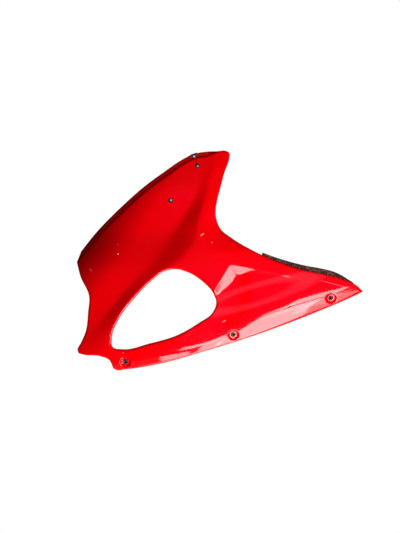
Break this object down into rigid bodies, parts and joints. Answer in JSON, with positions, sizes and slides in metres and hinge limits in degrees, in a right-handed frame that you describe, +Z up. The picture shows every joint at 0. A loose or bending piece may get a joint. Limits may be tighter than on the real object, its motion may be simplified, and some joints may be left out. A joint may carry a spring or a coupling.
{
  "type": "motorcycle side fairing panel",
  "caption": "Left side panel of a half fairing: a glossy red moulded shell with a teardrop air outlet, a front flange, recessed screw seats, rubber grommets and a foam seal.",
  "frame": {"origin": "middle of the bore in the middle lower grommet", "axes": "+X to the bike's tail, +Z up, the painted side faces -Y"},
  "size_m": [0.6599, 0.12, 0.5046],
  "materials": {
    "red_paint": "glossy clear-coated red paint on moulded plastic",
    "foam": "coarse open-cell foam, dark brown",
    "grommet_rubber": "matt black rubber",
    "clip_steel": "dull zinc-plated spring steel"
  },
  "bodies": {
    "root": {"side_panel": "red_paint", "foam_seal": "foam", "grommet_lower_front": "grommet_rubber", "grommet_lower_middle": "grommet_rubber", "grommet_lower_rear": "grommet_rubber", "grommet_upper_rear": "grommet_rubber", "grommet_upper_front": "grommet_rubber", "clip_nut": "clip_steel"}
  },
  "joints": []
}
